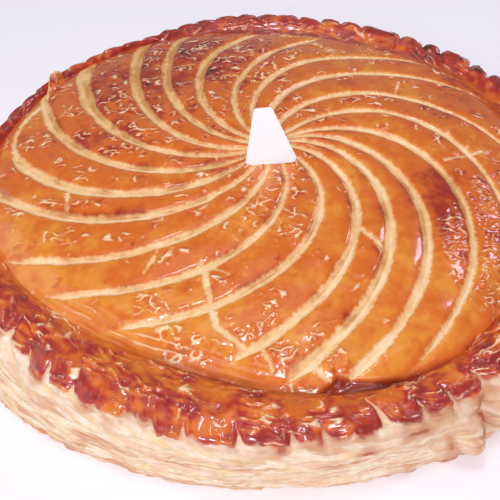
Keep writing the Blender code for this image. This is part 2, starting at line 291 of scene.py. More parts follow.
def distanceToCuts(spot, bearing, reach, share):
    # distance to the nearest cut's edge, below zero in the cut; the leaf, how far across it, and
    # which bank of that cut: -1 on the hollow side of its curve, 1 on the other
    nearest = side = bank = np.ones(reach.shape)
    leaf = np.zeros(reach.shape)
    for index, (marks, widths, end) in enumerate(cuts["each"]):
        away = (bearing - cutBearing(marks, reach) + math.pi) % (2 * math.pi) - math.pi
        across = away * reach / cutSlant(marks, reach)
        half = 0.5 * cuts["open"] * np.maximum(threeCircles(widths, reach), cuts["narrowest"])
        half = half * (1 + lumps(join(reach, index * 0.1, 0), cuts["wander"], 13))
        taper = 1 - smooth(share, end - cuts["taper"], end)
        distance = np.abs(across) - half * taper ** 0.7 + 0.0012 * (1 - taper)
        leaf = np.where((across > 0) & (across < side), index, leaf)
        side = np.where(across > 0, np.minimum(side, across), side)
        bank = np.where(distance < nearest, np.sign(across), bank)
        nearest = np.minimum(nearest, distance)
    for kind in cuts["ragged"]:
        nearest = nearest + lumps(spot, kind, 11)
    return nearest, leaf, side, bank


def distanceToCracks(spot, x, y):
    # distance to the nearest crack's edge, and how deep that crack is against a cut
    coarse, fine = cuts["crackRagged"]
    shake = lumps(spot, coarse, 14) + lumps(spot, fine, 15)
    nearest, depth = np.ones(x.shape), np.zeros(x.shape)
    for points, width, deep in cuts["cracks"]:
        for (startX, startY), (endX, endY) in zip(points[:-1], points[1:]):
            runX, runY = (endX - startX) * mm, (endY - startY) * mm
            fromX, fromY = x - startX * mm, y - startY * mm
            along = np.clip((fromX * runX + fromY * runY) / (runX ** 2 + runY ** 2), 0.0, 1.0)
            away = np.hypot(fromX - along * runX, fromY - along * runY) + shake - 0.5 * width * mm
            depth = np.where(away < nearest, deep, depth)
            nearest = np.minimum(nearest, away)
    return nearest, depth


# The dome: a disc of small cells, lifted into puffed leaves between flat cuts
dome = {
    "gridRings": 246,
    "sectors": (6, 13),  # cuts along which the dome's pieces part, besides the first
    "overlap": 1.022,  # how far it runs on under the rim
    "leafRise": 0.0006,  # height of a leaf's back over the cut's edge
    "leafRound": 0.002,  # how quickly it gets there
    "leafEdge": (-0.0002, 0.0022),
    "calmEdge": 0.98,  # share of the way to the crease where the relief starts to fade
    "wall": 0.0014,  # width of a cut's sloping wall
    "swell": (0.0007, 0.034),  # slow unevenness: height and size
    "ripple": (0.00028, 0.011),
    "wrinkle": (0.00042, (0.006, 0.0032, 0.0044), 0.22),  # height, size and how thin
    "wrinkleBend": (0.0018, 0.005),
    "wrinkleLength": 0.0052,
    "crinkle": (0.00016, 0.0021),
    "bubbles": (0.0007, 0.003),
    "scatter": (0.62, 0.011),
    "groove": (286, 8.5, 0.005, 0.0016),  # bearing, half its length in degrees, width and depth
    "folds": (0.0003, 0.0026, 243, 20),  # beside the crease: height, spacing, bearing, spread
    "glare": ((94, -36, 32, -0.6),),  # where the lamp's own glints fall on the wrinkles, their painted highlight is weaker
    "blistered": (
        (-108, 12, 9, 0.5), (-76, 48, 13, 0.5), (-53, 28, 10, 0.5), (-35, 97, 13, 0.6),
        (-15, 70, 17, 0.6), (24, 90, 9, 0.5), (52, 88, 11, 0.4), (66, 57, 8, 0.4),
        (46, 38, 11, 0.4), (76, 30, 8, 0.3), (14, 26, 6, 0.5), (-45, -82, 10, 0.5),
        (-82, -44, 8, 0.4), (3, -42, 9, 0.4), (-16, -44, 7, 0.3), (-2, -17, 12, 0.5),
        (88, -44, 19, 1.4), (92, -16, 12, 0.9), (84, -72, 12, 0.9), (70, -50, 10, 0.9), (66, -64, 8, 0.4),
        (6, -104, 13, 0.5), (-32, -98, 10, 0.4), (-50, 55, 60, 0.24),
        (55, -35, 32, -0.35), (55, -85, 28, -0.3), (60, 40, 30, -0.1), (-70, -60, 24, -0.15),
        (-10, -30, 30, 0.2), (-55, -5, 30, 0.12), (20, 20, 25, 0.12), (0, 108, 30, 0.15),
    ),
}


def discGrid(rings):
    # a square grid bent into a round one, so that its cells keep one size out to the edge
    side = np.linspace(-1.0, 1.0, 2 * rings + 1)
    a, b = np.meshgrid(side, side, indexing="ij")
    wide = np.abs(a) >= np.abs(b)
    safeA = np.where(a == 0, 1.0, a)
    safeB = np.where(b == 0, 1.0, b)
    radius = np.where(wide, a, b)
    angle = np.where(wide, math.pi / 4 * b / safeA, math.pi / 2 - math.pi / 4 * a / safeB)
    return radius * np.cos(angle), radius * np.sin(angle)


def domeSection(share, filled):
    rise = 1 - np.minimum(share, 1.0) ** pastry["domeFullness"]
    height = mix(pastry["shoulderHeight"], pastry["apexHeight"], rise)
    drop = pastry["shoulderHeight"] - pastry["creaseHeight"] - filled * pastry["filled"][3]
    height = height - drop * smooth(share, pastry["shoulderStart"], 1.0)
    return height - pastry["runOn"] * np.maximum(share - 1.0, 0.0)


def domeSurface(x, y):
    # height of the dome above the table, the leaf at each point, and what its finish shows there
    spot = join(x, y, 0)
    bearing, reach = np.arctan2(y - cutY, x - cutX), np.hypot(x - cutX, y - cutY)
    toCrease = creaseReach(bearing)
    share = reach / toCrease
    inward = toCrease - reach
    edge, leaf, side, bank = distanceToCuts(join(x - cutX, y - cutY, 0), bearing, reach, share)
    crack, crackDepth = distanceToCracks(spot, x, y)
    bareEdge = np.minimum(edge, crack)
    onLeaf = smooth(bareEdge, *dome["leafEdge"])
    middle = 1 - smooth(share, 0.982, 1.0)
    height = domeSection(share, creaseFill(bearing)) + lumps(spot, dome["swell"], 21) * middle
    height += lumps(spot, dome["ripple"], 22) * middle * (0.3 + 0.7 * onLeaf)
    inCut, inCrack = (1 - smooth(away, -dome["wall"], dome["wall"] * 0.4) for away in (edge, crack))
    leafBack = dome["leafRise"] * (1 - np.exp(-np.maximum(edge, 0.0) / dome["leafRound"]))
    height += middle * (leafBack - cuts["depth"] * np.maximum(inCut, crackDepth * inCrack))
    # blisters and wrinkles in the glaze
    blistered = lumps(spot, dome["scatter"], 24, 2) + addSpots(0, x, y, dome["blistered"])
    patches = smooth(blistered, 0.05, 0.34)
    wrinkle, shadeBeside = wrinkles(spot)
    bubbleHeight, bubbleSize = dome["bubbles"]
    bubbles = bubbleHeight * np.maximum(noise(spot, bubbleSize, 26) - 0.15, 0.0)
    blisters = patches * (dome["wrinkle"][0] * wrinkle + lumps(spot, dome["crinkle"], 25) + bubbles)
    height += onLeaf * (1 - smooth(share, dome["calmEdge"], 1.0)) * blisters
    # fine folds beside the crease
    foldHeight, spacing, *place = dome["folds"]
    folds = np.sin(inward / spacing * 2 * math.pi + 3 * noise(spot, 0.016, 27))
    folded = smooth(share, 0.92, 0.95) * (1 - smooth(share, 0.985, 1.0)) * bump(bearing, *place)
    height += foldHeight * folds * folded
    # the backs of the folds are painted pale as highlight lines
    foldHighlights = smooth(folds, 0.6, 1.0) * folded * smooth(noise(spot, 0.013, 36), -0.2, 0.1)
    groove = inGroove(bearing, inward)
    height -= dome["groove"][3] * groove
    streaks = np.clip(0.3 - 0.55 * noise(join(2.2 * inward, bearing * 0.03, 0), 0.003, 37), 0.0, 0.75)
    glazed = patches * onLeaf
    # painted highlight on the wrinkles' backs, partly standing for their thinner glaze
    paleCrestAndGlint = addSpots(1.0, x, y, dome["glare"]) * patches * onLeaf * wrinkle ** 1.5
    crust = mix(bareEdge, np.maximum(bareEdge, 0.002), groove) / mm
    return height, leaf, {
        "crust": crust,
        "wrinkled": glazed,
        "paleAndGlint": np.maximum(paleCrestAndGlint, 0.8 * foldHighlights) * (1 - groove),
        # painted shade in the crease, and in streaks along the dark groove
        "paintedShade": np.maximum(paintedCreaseShade(bearing, inward), groove * streaks),
        "grain": noise(join(reach, side, leaf * 0.05), (0.007, 0.0011, 0.01), 29),
        "browning": domeBrowning(x, y, crust, bank, glazed * shadeBeside, inward, groove),
    }


def wrinkles(spot):
    # thin curved ridges in short lengths: one along their backs, which also carries their painted
    # highlight, and the band beside them, which carries painted shade
    bendBy, bendSize = dome["wrinkleBend"]
    bend = join(*(noise(spot, bendSize, seed) for seed in (23, 28, 30)))
    _, size, thin = dome["wrinkle"]
    level = np.abs(noise(spot + bendBy * bend, size, 34))
    broken = smooth(noise(spot, dome["wrinkleLength"], 35), -0.25, 0.05)
    back = (1 - smooth(level, 0.0, thin)) * broken
    shadeBeside = smooth(level, 0.5 * thin, 1.4 * thin) * (1 - smooth(level, 1.6 * thin, 3.2 * thin)) * broken
    return back, shadeBeside


def inGroove(bearing, inward):
    # one in the dark groove in front, where the dome stops short of the rim; widest at its left end
    middle, spread, wide, _ = dome["groove"]
    away = degreesFrom(bearing, middle) / spread
    width = wide * np.minimum(2.5 * (1 + away), (1 - away) / 1.6)
    return smooth(width - inward, -0.0006, 0.0006)


def buildDome(material):
    # one grid over the whole dome, parted along cuts into pieces that meet point for point
    unitX, unitY = discGrid(dome["gridRings"])
    angle = np.arctan2(unitY, unitX)
    reach = np.hypot(unitX, unitY) * creaseReach(angle) * dome["overlap"]
    x, y = cutX + reach * np.cos(angle), cutY + reach * np.sin(angle)
    height, leaf, shown = domeSurface(x, y)
    points = join(x, y, height).reshape(-1, 3)
    index = np.arange(x.size).reshape(x.shape)
    quads = join(index[:-1, :-1], index[1:, :-1], index[1:, 1:], index[:-1, 1:]).reshape(-1, 4)
    sector = np.searchsorted(dome["sectors"], leaf, side="right")[:-1, :-1].ravel()
    pieces = []
    for number, letter in enumerate("abc"):
        used, own = np.unique(quads[sector == number], return_inverse=True)
        values = {label: part.ravel()[used] for label, part in shown.items()}
        own = own.reshape(-1, 4)
        pieces.append(makeMesh("scored_dome_" + letter, points[used], own, values, material))
    return pieces


# Browning of the glaze: slow patches, and the places that the oven caught more or less
browned = {
    "base": 0.35,
    "patches": ((0.15, 0.026), (0.15, 0.0085), (0.1, 0.003)),  # height and size, slow to fine
    "hollowBank": (0.3, 0.0022, 0.014),  # browner line: how much, how far it reaches, its patches
    "fullBank": (-0.14, 0.0016),  # thinner glaze on the other bank: how much, how far
    "shadeBeside": 0.22,  # painted shade beside each wrinkle, added to the browning
    "spots": (
        (-44, 78, 34, 0.34), (-72, 52, 26, 0.2), (68, -22, 17, 0.28), (95, 70, 28, 0.25),
        (-48, -92, 26, -0.16), (35, -106, 24, -0.18), (0, -112, 20, -0.08), (58, -88, 20, -0.08),
        (-20, -60, 26, -0.06), (20, 95, 30, -0.04), (-108, -30, 22, -0.06), (30, -20, 25, -0.06),
        (-78, 12, 22, 0.14), (-84, -62, 20, -0.14), (60, 70, 22, -0.08),
        (-110, -50, 18, -0.14), (-92, -84, 20, -0.14), (-52, 12, 24, -0.05),
    ),
    "groove": 0.8,
    "grooveUneven": (0.12, 0.004),
    "crease": 0.48,
    "creaseUneven": (0.22, 0.01),
    "creaseReach": 0.0022,  # how far the crease's own browning runs up either side
    "creaseSpots": ((222, 30, -0.24), (100, 44, 0.14), (290, 14, 0.12)),
    "shadow": ((286, 8, 0.8), (259, 20, 0.46), (75, 60, 0.5)),  # where the crease is darkest
    "shadowReach": 0.0024,
}


def paintedCreaseShade(bearing, away):
    # painted shade in the crease: how dark it is, by bearing and by distance from it
    dark = addBumps(0, bearing, browned["shadow"]) * (0.75 + 0.5 * noise(around(bearing, 0.1), 0.007, 38))
    return dark * np.exp(-(away / browned["shadowReach"]) ** 4)


def joinAtCrease(level, x, y, away):
    # what the dome and the rim both take on where they meet
    crease = addBumps(browned["crease"], np.arctan2(y, x), browned["creaseSpots"])
    crease = crease + lumps(join(x, y, 0), browned["creaseUneven"], 49, 3)
    return mix(level, crease, np.exp(-(np.maximum(away, 0.0) / browned["creaseReach"]) ** 2))


def domeBrowning(x, y, crust, bank, shadeBeside, inward, groove):
    spot = join(x, y, 0)
    level = browned["base"]
    for seed, kind in zip((31, 35, 39), browned["patches"]):
        level += lumps(spot, kind, seed, 3)
    away = np.maximum(crust * mm, 0.0)
    more, reach, size = browned["hollowBank"]
    level += more * smooth(noise(spot, size, 47), -0.3, 0.3) * (bank < 0) * np.exp(-away / reach)
    less, reach = browned["fullBank"]
    level += less * (bank > 0) * np.exp(-away / reach)
    # painted shade beside each wrinkle
    level += browned["shadeBeside"] * shadeBeside
    level = joinAtCrease(addSpots(level, x, y, browned["spots"]), x, y, inward)
    level = mix(level, browned["groove"] + lumps(spot, browned["grooveUneven"], 48), groove)
    return np.clip(level, 0.0, 1.0)


# The rim: whole flutes between the plainest notches, each rising slowly and dropping sharply
rim = {
    "notches": (38.5, 46.5, 51, 57, 235.5, 244.5, 253.5, 261.5, 269, 273.5, 282.5, 288.5, 293.5, 299.5),
    "known": (  # bearing, depth of notch, its slit, and how far the glaze hangs, mm
        (33.5, 0.9, 0.6, 0.8), (38.5, 1.3, 0.6, 0.8), (42.5, -0.9, 0.0, 0.8), (46.5, 1.3, 0.6, 0.8),
        (51, 1.2, 0.6, 0.8), (57, 0.9, 0.6, 0.8), (61.5, -0.8, 0.0, 0.8),
        (215.7, 0.6, 1.0, 0.5), (220.6, 1.0, 3.2, 0.5), (225.6, 0.4, 0.5, 4.2), (230.5, 0.6, 1.0, 1.9),
        (235.5, 0.9, 1.3, 2.1), (240, 0.2, 0.2, 1.2), (244.5, 0.9, 1.0, -0.8), (249, 0.4, 0.5, 2.2),
        (253.5, 1.0, 2.4, 1.5), (257.5, 0.1, 0.1, 1.9), (261.5, 1.1, 3.0, 0.9), (265.3, 0.1, 0.2, 1.6),
        (269, 0.9, 2.8, 0.0), (273.5, 1.0, 5.5, 0.2), (278, 0.1, 0.0, 0.0), (282.5, 1.5, 12.5, 1.1),
        (288.5, 1.1, 3.5, 0.5), (293.5, 1.2, 4.5, 1.9), (299.5, 1.3, 4.6, 0.5),
    ),
    "pitch": 5.0,
    "shallower": ((150, 48, 0.55),),  # shallower notches: bearing, spread, how much
    "calmer": ((262, 56, 0.7), (104, 34, 0.55), (165, 32, 0.6)),  # weaker flutes, in the same way
    "smoother": ((80, 62, 0.7), (160, 34, 0.6)),  # fewer lumps
    "section": ((0.16, 0.0282), (0.42, 0.0306), (0.72, 0.0308)),
    "reach": 0.0017,
    "drop": 0.0011,
    "lowered": 0.0006,
    "columns": 1296,
    "rowsOver": 42,
    "rowsDown": 22,
    "lean": (2.0, 5.0),
    "belly": 0.0014,
    "knobs": (  # bearing, height, spread round and up, how far out
        (298.0, 0.0105, 2.4, 0.0062, 0.008), (304.5, 0.0155, 2.0, 0.0062, 0.008),
        (301.2, 0.013, 1.0, 0.009, -0.0035),
    ),
    "sideSteps": 7,
    "sideCurve": 0.8,
    "seam": 0.24,  # share of the side that the glazed edge may hang over
    "tuck": (0.0012, -0.0004),
    "innerWall": ((0.0035, 0.0215), (0.0012, 0.0252)),  # how far inside the crease, and height
}


def fluteStarts():
    starts = []
    for index, notch in enumerate(rim["notches"]):
        gap = (rim["notches"][(index + 1) % len(rim["notches"])] - notch) % 360
        count = max(1, round(gap / rim["pitch"]))
        starts += [(notch + gap * step / count) % 360 for step in range(count)]
    return np.sort(np.array(starts))


def calmed(bearing, places):
    # one, or less near the given bearings
    share = 1.0
    for place in places:
        share = share * (1 - addBumps(0, bearing, [place]))
    return share


def fluteTraits():
    # each flute's own crest and notch; a slit is how far its notch opens inside the lip
    starts = fluteStarts()
    rng = np.random.default_rng(41)
    count = len(starts)
    notch = rng.uniform(0.25, 1.1, count)
    slit = notch ** 2 * rng.uniform(0.8, 2.5, count)
    hang = rng.uniform(-0.5, 1.6, count)
    notch = notch * calmed(np.radians(starts), rim["shallower"])
    for bearing, depth, length, drop in rim["known"]:
        index = int(np.argmin(np.abs(starts - bearing)))
        notch[index], slit[index], hang[index] = depth, length, drop
    strength = np.clip(slit, 0.0, 1.0)
    return {
        "start": starts,
        "strength": strength,
        "joint": (1 - strength) * 0.5 * (hang + np.roll(hang, 1)) * mm,  # where two flutes meet
        "crestPlace": rng.uniform(0.6, 0.8, count),
        "crest": rng.uniform(0.65, 1.15, count),
        "notch": notch,
        "slit": slit * mm,
        "hang": hang * mm,
    }


flutes = fluteTraits()


def fluteAt(bearing):
    # the flute at a bearing and the one after it, how far through it the bearing is, and its width
    degrees = np.degrees(bearing) % 360
    starts = flutes["start"]
    index = (np.searchsorted(starts, degrees, side="right") - 1) % len(starts)
    later = (index + 1) % len(starts)
    gap = (starts[later] - starts[index]) % 360
    return index, later, ((degrees - starts[index]) % 360) / gap, gap


def fluteLobe(bearing):
    # up to a flute's own crest, and down to the notch on either side
    index, later, place, _ = fluteAt(bearing)
    crest = flutes["crestPlace"][index]
    rising = 1 - np.maximum(1 - place / crest, 0.0) ** 1.8
    falling = 1 - smooth((place - crest) / (1 - crest), 0.05, 1.0)
    rise = np.where(place < crest, rising, falling)
    notch = flutes["notch"][np.where(place < crest, index, later)]
    return (flutes["crest"][index] * rise - notch * (1 - rise)) * calmed(bearing, rim["calmer"])


def notchLines(bearing, length, kind):
    # lines along the middle of each notch; kind is height, width in degrees, and where they start and end
    height, width, start, end = kind
    index, later, place, gap = fluteAt(bearing)
    before = np.exp(-(place * gap / width) ** 2) * flutes["notch"][index]
    after = np.exp(-((1 - place) * gap / width) ** 2) * flutes["notch"][later]
    return height * np.maximum(before, after) * smooth(length, start, end)


def rimRing(bearing, share, height):
    strength = smooth(share, 0.25, 1.0)
    turned = bearing + math.radians(rim["lean"][0]) * strength
    lobe = fluteLobe(bearing) * strength
    radius = mix(creaseRadius(turned), lipRadius(turned), share) + rim["reach"] * lobe
    height = height - rim["lowered"] * creaseFill(turned) * (1 - share)
    return join(turned, radius, height + rim["drop"] * np.minimum(lobe, 0.3))


def sideRing(bearing, share):
    turned = bearing + math.radians(mix(*rim["lean"], smooth(share, 0.0, 0.7)))
    height = pastry["lipHeight"] * (1 - share)
    radius = mix(lipRadius(turned), ringRadius(pastry["foot"], turned), share ** rim["sideCurve"])
    radius += rim["belly"] * math.sin(math.pi * share)
    radius += rim["reach"] * mix(1.0, 0.05, smooth(share, 0.0, 0.3)) * fluteLobe(bearing)
    return join(turned, addLobes(radius, turned, height, rim["knobs"]), height)


def controlRings(bearing):
    height = pastry["creaseHeight"] + pastry["filled"][3] * creaseFill(bearing)
    rings = [join(bearing, creaseRadius(bearing), height)]
    rings += [rimRing(bearing, share, height) for share, height in rim["section"]]
    return rings + [sideRing(bearing, step / rim["sideSteps"]) for step in range(rim["sideSteps"] + 1)]


def smoothRun(rings, places):
    # points on a smooth curve through every ring, read at each place; 0 is the first ring
    last = len(rings) - 1
    rows = []
    for place in places:
        low = min(int(place), last - 1)
        share = place - low
        before, start, end = rings[max(low - 1, 0)], rings[low], rings[low + 1]
        after = rings[min(low + 2, last)]
        rows.append(start + 0.5 * share * (end - before + share * (
            2 * before - 5 * start + 4 * end - after + share * (3 * (start - end) + after - before))))
    return around(*np.moveaxis(np.stack(rows), -1, 0))


def gridNormals(points):
    # outward directions on a grid of rows down the section and columns round the pastry
    along = np.roll(points, -1, axis=1) - np.roll(points, 1, axis=1)
    normal = np.cross(np.gradient(points, axis=0), along)
    return normal / np.linalg.norm(normal, axis=-1)[..., None]


def pathLength(points, start):
    # length along the section from its row `start`, below zero before it
    step = np.linalg.norm(np.diff(points, axis=0), axis=-1)
    length = np.concatenate([np.zeros((1, points.shape[1])), np.cumsum(step, axis=0)])
    return length - length[start]


# The glaze runs over the lip in tongues, and ends inside it where a notch has slit it open
glazeEdge = {
    "slitWidth": 0.36,  # degrees
    "slitMore": 0.0004,
    "ragged": ((0.0019, 0.0058, 51), (0.0007, 0.0021, 52), (0.0003, 0.0009, 50)),  # height, size, seed
    "top": (-0.0011, -0.0003),
}


def glazeDistance(bearing, length):
    # how far inside the edge of the glaze a point lies
    index, later, place, gap = fluteAt(bearing)
    hang = mix(flutes["joint"][index], flutes["hang"][index], smooth(place, 0.0, 0.25))
    hang = mix(hang, flutes["joint"][later], smooth(place, 0.8, 1.0))
    for away, number in ((place * gap, index), ((1 - place) * gap, later)):
        slit = flutes["slit"][number] + glazeEdge["slitMore"] * flutes["strength"][number]
        hang -= slit * np.exp(-(away / glazeEdge["slitWidth"]) ** 2)
    for height, size, seed in glazeEdge["ragged"]:
        hang += height * noise(around(bearing, pastry["lip"][0]), size, seed)
    return hang - length


def onTop(crust):
    # one where the rim's piece lies over the side's, nothing where it runs under it
    return smooth(crust, *glazeEdge["top"])


# Folds of crust that lie along the rim, and its lumps and curls
rimFolds = {
    "lump": (0.0013, 0.012),
    "dimple": (0.0003, 0.0042),
    "curl": (0.00046, 0.0021),
    "pleat": (0.001, (0.015, 0.015, 0.0036), 0.2),  # height, size round and across, and sharpness
    "pleatBend": (0.002, 0.008),
    "glinting": ((242.0, 2.0), (259.5, 2.4), (265.5, 1.6), (275.0, 2.6), (284.0, 1.6)),  # bearing, spread
    "squiggle": (0.0003, (0.008, 0.008, 0.0024), 0.2),  # height, size and how thin
    "squiggleBend": (0.0016, 0.005),
    "squiggled": (227.0, 8.0),
    "lip": (299.0, 5.5, 0.002, 0.0008),  # pale line: bearing, spread, how far under the glaze, width
    "lipRise": 0.0006,
    "crustRise": 0.0002,
    "slot": (0.0009, 0.45, -0.009, -0.001),  # along each notch, as notchLines takes them
    "outline": (0.14, 0.55, -0.011, -0.003),
    "valleyShade": 0.26,  # painted shade between pleats, added to the browning
    "browning": (0.56, (0.3, 0.012), (0.28, 0.0042)),
    "browner": ((42, 22, 0.3), (215, 16, 0.08), (300, 16, 0.1), (105, 34, 0.32), (165, 26, 0.12),
                (190, 14, 0.1), (258, 34, 0.03)),
    "scorched": (50, 26, 0.15),  # nearly black tips: bearing, spread, how much
    "darkest": 0.9,
}


def rimRelief(points, bearing, share, length):
    # what stands out on the rim, its curled patches, its crests painted pale (thinner glaze and painted
    # highlight) and the valleys beside them, painted as shade
    spread = join(points[..., 0], points[..., 1], 0)
    spread *= (pastry["lip"][0] / np.linalg.norm(spread, axis=-1))[..., None]
    spread[..., 2] = length
    smoother = calmed(bearing, rim["smoother"])
    outer = smooth(share, 0.06, 0.35) * smoother
    lift = (lumps(points, rimFolds["lump"], 53) + lumps(points, rimFolds["dimple"], 54)) * outer
    height, size, sharpness = rimFolds["pleat"]
    along = np.abs(noise(spread + lumps(points, rimFolds["pleatBend"], 58)[..., None], size, 57))
    where = smooth(noise(points, 0.016, 59), -0.35, 0.1) * mix(0.5, 1.0, smoother)
    pleated = where * smooth(share, 0.02, 0.15)
    lift += height * np.maximum(1 - along / sharpness, 0.0) * pleated
    crest = np.maximum(1 - along / (0.6 * sharpness), 0.0) * pleated
    crest *= smooth(noise(points, 0.005, 63), -0.3, 0.15)
    shadedValleys = smooth(along, 0.9 * sharpness, 1.6 * sharpness) * (1 - smooth(along, 0.5, 0.8)) * where
    patches = smooth(noise(points, 0.01, 55, 2), 0.0, 0.35)
    for place in rimFolds["glinting"]:
        patches = np.maximum(patches, bump(bearing, *place) * smooth(length, -0.004, 0.0))
    lift += lumps(points, rimFolds["curl"], 56) * patches * outer
    height, size, thin = rimFolds["squiggle"]
    bent = spread + lumps(points, rimFolds["squiggleBend"], 67)[..., None]
    squiggles = 1 - smooth(np.abs(noise(bent, size, 66)), 0.0, thin)
    squiggles *= bump(bearing, *rimFolds["squiggled"])
    squiggles *= (1 - smooth(share, 0.4, 0.65)) * smooth(noise(points, 0.006, 68), -0.3, 0.0)
    return lift + height * squiggles, patches, np.maximum(crest, squiggles), shadedValleys


def rimBrowning(points, length, bearing):
    level, slow, fine = rimFolds["browning"]
    level = level + lumps(points, slow, 61, 3) + lumps(points, fine, 62, 3)
    level = level + 0.07 * smooth(length, -0.006, 0.001) - 0.12 * (1 - smooth(length, -0.012, -0.006))
    level -= 0.22 * smooth(length, 0.0, 0.0035)
    return np.clip(addBumps(level, bearing, rimFolds["browner"]), 0, 1.05)


def buildRim(material):
    # from the crease over the crest and down to where the side takes over
    bearing = np.linspace(0, 2 * math.pi, rim["columns"], endpoint=False)
    seam = 4 + rim["seam"] * rim["sideSteps"]
    over = np.linspace(0, 4, rim["rowsOver"], endpoint=False)
    places = np.concatenate([over, np.linspace(4, seam, rim["rowsDown"])])
    points = smoothRun(controlRings(bearing), places)
    length = pathLength(points, rim["rowsOver"])
    crust = glazeDistance(bearing, length)
    share = np.clip(places[:, None] / 4, 0, 1)
    lift, patches, crest, shadedValleys = rimRelief(points, bearing, share, length)
    lift -= notchLines(bearing, length, rimFolds["slot"])
    lift += rimFolds["crustRise"] * smooth(crust, -0.0004, 0.0003)
    middle, spread, under, width = rimFolds["lip"]
    band = bump(bearing, middle, spread) * np.exp(-((crust + under) / width) ** 2)
    lift += rimFolds["lipRise"] * band
    lift -= layers["overlap"] * (1 - onTop(crust)) * smooth(length, 0.0004, 0.002)
    fromCrease = length - length[0]
    browning = rimBrowning(points, length, bearing)
    browning = joinAtCrease(browning, points[..., 0], points[..., 1], fromCrease)
    # painted shade in the valleys between pleats
    browning = browning + notchLines(bearing, length, rimFolds["outline"]) + rimFolds["valleyShade"] * shadedValleys
    scorch = addBumps(0, bearing, [rimFolds["scorched"]]) * smooth(noise(points, 0.006, 65), 0.0, 0.3)
    shown = {
        "crust": (crust + under * band) / mm,
        # painted shade in the crease
        "paintedShade": paintedCreaseShade(bearing, fromCrease),
        "wrinkled": 1.3 * patches,
        # rim crests and squiggles painted pale: thinner glaze and painted highlight
        "paleAndGlint": np.maximum(crest, band),
        "grain": noise(points, 0.0013, 60),
        "browning": np.minimum(browning, rimFolds["darkest"] + scorch),
        "layered": 0.6 + 0 * length,
        **sideTints(points, bearing, crust, 0.5),
    }
    points = points + gridNormals(points) * lift[..., None]
    # the edge tucks in behind, and a hidden inner wall closes the ring
    hidden = [points[-1] - around(bearing, *rim["tuck"])]
    hidden += [around(bearing, lipRadius(bearing) - 0.006, 0.0215)]
    hidden += [around(bearing, creaseRadius(bearing) - inside, up) for inside, up in rim["innerWall"]]
    shown = withHidden(shown, 0, 4, {"crust": -3.0})
    return makeTube("pinched_rim", np.concatenate([points, hidden]), shown, material, closed=True)


# The side: thin sheets of pastry that start and end, dip under each flute and flake at the edge
layers = {
    "columns": 900,
    "rows": 106,
    "sheet": 0.00125,  # thickness of one sheet
    "uneven": (0.0016, 0.004),
    "stand": (0.00085, 0.015),  # how far sheets stand out, and over what length that changes
    "wave": (0.0016, 0.034),
    "dip": 0.0002,
    "overlap": 0.0009,
    "flaky": (0.0008, (0.018, 0.018, 0.0038)),
    "crumb": (0.00022, 0.0022),
    "crumple": (0.0006, (0.0065, 0.0065, 0.004)),
    "calmTop": (0.012, 0.021, 0.4),  # sheets show less from here, to here, by this share
    "slant": 0.9,
    "yellow": (0.008, 0.008, 0.0055),
    "rosy": (0.009, 0.009, 0.0045),
    "topToast": (1.25, 0.0036, 0.0075),  # browner under the glaze: how much, how far down, its patches
    "footToast": (0.5, 0.0025),
    "toastPatches": (0.38, 0.018),
    "toasted": ((296, 15, 0.34), (222, 20, 0.1)),
    "stains": (  # bearing, height, spread round and up, how much
        (283, 0.0185, 1.6, 0.002, 1.1), (281, 0.015, 1.0, 0.0012, 0.5), (291, 0.0215, 2.4, 0.0016, 0.5),
        (294.9, 0.0105, 0.6, 0.005, 0.8), (301.2, 0.013, 0.7, 0.007, 1.1), (307.6, 0.015, 0.6, 0.005, 0.8),
        (298, 0.0035, 2.4, 0.0014, 0.8), (304.5, 0.008, 1.8, 0.0012, 0.7), (298, 0.012, 0.5, 0.003, 0.5),
    ),
}


def leaning(points, bearing):
    # where each point would be if the streaks on the side didn't lean
    turned = bearing + layers["slant"] * (points[..., 2] - 0.014) / pastry["lip"][0]
    return around(turned, np.hypot(points[..., 0], points[..., 1]), points[..., 2])


def sideTints(points, bearing, crust, flaky):
    # yellow and rosy patches, and browner just under the glaze, at the foot and in a few stains
    height = points[..., 2]
    more, fade, size = layers["topToast"]
    toast = more * np.exp(np.minimum(crust, 0.0) / fade) * smooth(noise(points, size, 81, 2), -0.55, 0.45)
    more, fade = layers["footToast"]
    toast += more * (1 - smooth(height, 0.0, fade))
    more, size = layers["toastPatches"]
    toast += more * smooth(noise(points * (1, 1, 2.5), size, 82, 3), 0.05, 0.7) + 0.12 * flaky
    toast = addBumps(toast, bearing, layers["toasted"])
    toast = addLobes(toast, bearing + math.radians(rim["lean"][1]), height, layers["stains"])
    upright = leaning(points, bearing)
    return {
        "toasted": np.clip(toast, 0.0, 1.5),
        "yellow": noise(upright, layers["yellow"], 78, 3),
        "rosy": noise(upright, layers["rosy"], 83, 3),
    }


def sheetRelief(points, bearing):
    # how far the sheets stand out, from 0 between two of them to 1 on a long edge
    x, y, level = np.moveaxis(points, -1, 0)
    dip = layers["dip"] * fluteLobe(bearing) * smooth(level, 0.004, 0.024)
    level = level + lumps(points * (1, 1, 0.3), layers["wave"], 71) + dip
    level = level + lumps(join(0.3 * x, 0.3 * y, level), layers["uneven"], 72)
    number = np.floor(level / layers["sheet"])
    inside = level / layers["sheet"] - number
    stand = 0.5 + 0.9 * noise(join(x, y, number * 0.37), layers["stand"][1], 73)
    return np.clip(stand, 0.05, 1.2) * (1 - np.abs(2 * inside - 1) ** 2.5), join(x, y, level)


